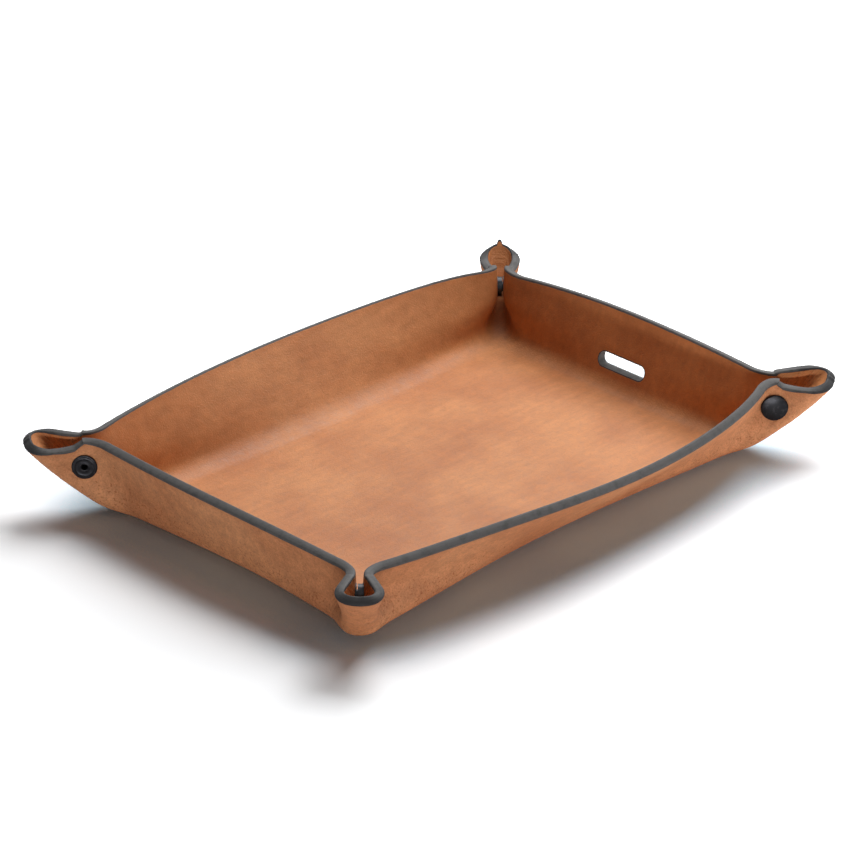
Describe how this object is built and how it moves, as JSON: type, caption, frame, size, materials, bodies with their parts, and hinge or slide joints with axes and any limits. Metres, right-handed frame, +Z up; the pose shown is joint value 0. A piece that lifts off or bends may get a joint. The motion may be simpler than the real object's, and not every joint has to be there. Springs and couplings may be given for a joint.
{
  "type": "valet tray",
  "caption": "Rectangular leather valet tray folded from one thick sheet, its corners pinched into open ears by press studs, with a cable slot in one short wall.",
  "frame": {"origin": "middle of the underside, on the surface the tray stands on", "axes": "+X along the long side towards the wall with the cable slot, +Y along the short side to the back, +Z up"},
  "size_m": [0.2848, 0.2008, 0.0355],
  "materials": {
    "leather": "semi-gloss grain inside, matte outside, black painted edge",
    "blackened_metal": "black plated, satin",
    "spring_steel": "drawn wire"
  },
  "bodies": {
    "floor": {"floor_panel": "leather"},
    "front_side": {"front_wall": "leather"},
    "back_side": {"back_wall": "leather"},
    "left_side": {"left_wall": "leather"},
    "right_side": {"right_wall": "leather"},
    "front_side_left_ear": {"front_wall_left_ear": "leather", "snap_cap_front_left": "blackened_metal", "snap_socket_front_left": "blackened_metal", "snap_spring_front_left": "spring_steel"},
    "front_side_right_ear": {"front_wall_right_ear": "leather", "snap_cap_front_right": "blackened_metal", "snap_socket_front_right": "blackened_metal", "snap_spring_front_right": "spring_steel"},
    "back_side_right_ear": {"back_wall_right_ear": "leather", "snap_cap_back_right": "blackened_metal", "snap_socket_back_right": "blackened_metal", "snap_spring_back_right": "spring_steel"},
    "back_side_left_ear": {"back_wall_left_ear": "leather", "snap_cap_back_left": "blackened_metal", "snap_socket_back_left": "blackened_metal", "snap_spring_back_left": "spring_steel"},
    "left_side_back_ear": {"left_wall_back_ear": "leather", "snap_stud_back_left": "blackened_metal", "snap_post_back_left": "blackened_metal"},
    "left_side_front_ear": {"left_wall_front_ear": "leather", "snap_stud_front_left": "blackened_metal", "snap_post_front_left": "blackened_metal"},
    "right_side_front_ear": {"right_wall_front_ear": "leather", "snap_stud_front_right": "blackened_metal", "snap_post_front_right": "blackened_metal"},
    "right_side_back_ear": {"right_wall_back_ear": "leather", "snap_stud_back_right": "blackened_metal", "snap_post_back_right": "blackened_metal"}
  },
  "joints": [
    {"name": "front_fold", "type": "hinge", "parent": "floor", "child": "front_side", "pos_m": [0, -0.06699, 0.00111], "axis": [1, 0, 0], "range_deg": [0, 20]},
    {"name": "back_fold", "type": "hinge", "parent": "floor", "child": "back_side", "pos_m": [0, 0.06699, 0.00111], "axis": [-1, 0, 0], "range_deg": [0, 20]},
    {"name": "left_fold", "type": "hinge", "parent": "floor", "child": "left_side", "pos_m": [-0.10899, 0, 0.00111], "axis": [0, -1, 0], "range_deg": [0, 20]},
    {"name": "right_fold", "type": "hinge", "parent": "floor", "child": "right_side", "pos_m": [0.10899, 0, 0.00111], "axis": [0, 1, 0], "range_deg": [0, 20]},
    {"name": "front_left_neck", "type": "hinge", "parent": "front_side", "child": "front_side_left_ear", "pos_m": [-0.11316, -0.07342, 0.0019], "axis": [0.1465, 0.1465, -0.9783], "range_deg": [0, 14.6]},
    {"name": "front_right_neck", "type": "hinge", "parent": "front_side", "child": "front_side_right_ear", "pos_m": [0.11316, -0.07342, 0.0019], "axis": [0.1465, -0.1465, 0.9783], "range_deg": [0, 14.6]},
    {"name": "back_right_neck", "type": "hinge", "parent": "back_side", "child": "back_side_right_ear", "pos_m": [0.11316, 0.07342, 0.0019], "axis": [-0.1465, -0.1465, -0.9783], "range_deg": [0, 14.6]},
    {"name": "back_left_neck", "type": "hinge", "parent": "back_side", "child": "back_side_left_ear", "pos_m": [-0.11316, 0.07342, 0.0019], "axis": [-0.1465, 0.1465, 0.9783], "range_deg": [0, 14.6]},
    {"name": "left_back_neck", "type": "hinge", "parent": "left_side", "child": "left_side_back_ear", "pos_m": [-0.11542, 0.07116, 0.0019], "axis": [0.1465, -0.1465, -0.9783], "range_deg": [0, 14.6]},
    {"name": "left_front_neck", "type": "hinge", "parent": "left_side", "child": "left_side_front_ear", "pos_m": [-0.11542, -0.07116, 0.0019], "axis": [-0.1465, -0.1465, 0.9783], "range_deg": [0, 14.6]},
    {"name": "right_front_neck", "type": "hinge", "parent": "right_side", "child": "right_side_front_ear", "pos_m": [0.11542, -0.07116, 0.0019], "axis": [-0.1465, 0.1465, -0.9783], "range_deg": [0, 14.6]},
    {"name": "right_back_neck", "type": "hinge", "parent": "right_side", "child": "right_side_back_ear", "pos_m": [0.11542, 0.07116, 0.0019], "axis": [0.1465, 0.1465, 0.9783], "range_deg": [0, 14.6]}
  ],
  "couplings": [
    {"joint": "back_fold", "follows": "front_fold", "ratio": 1},
    {"joint": "left_fold", "follows": "front_fold", "ratio": 1},
    {"joint": "right_fold", "follows": "front_fold", "ratio": 1},
    {"joint": "front_left_neck", "follows": "front_fold", "ratio": 0.73},
    {"joint": "front_right_neck", "follows": "front_fold", "ratio": 0.73},
    {"joint": "back_right_neck", "follows": "front_fold", "ratio": 0.73},
    {"joint": "back_left_neck", "follows": "front_fold", "ratio": 0.73},
    {"joint": "left_back_neck", "follows": "front_fold", "ratio": 0.73},
    {"joint": "left_front_neck", "follows": "front_fold", "ratio": 0.73},
    {"joint": "right_front_neck", "follows": "front_fold", "ratio": 0.73},
    {"joint": "right_back_neck", "follows": "front_fold", "ratio": 0.73}
  ]
}
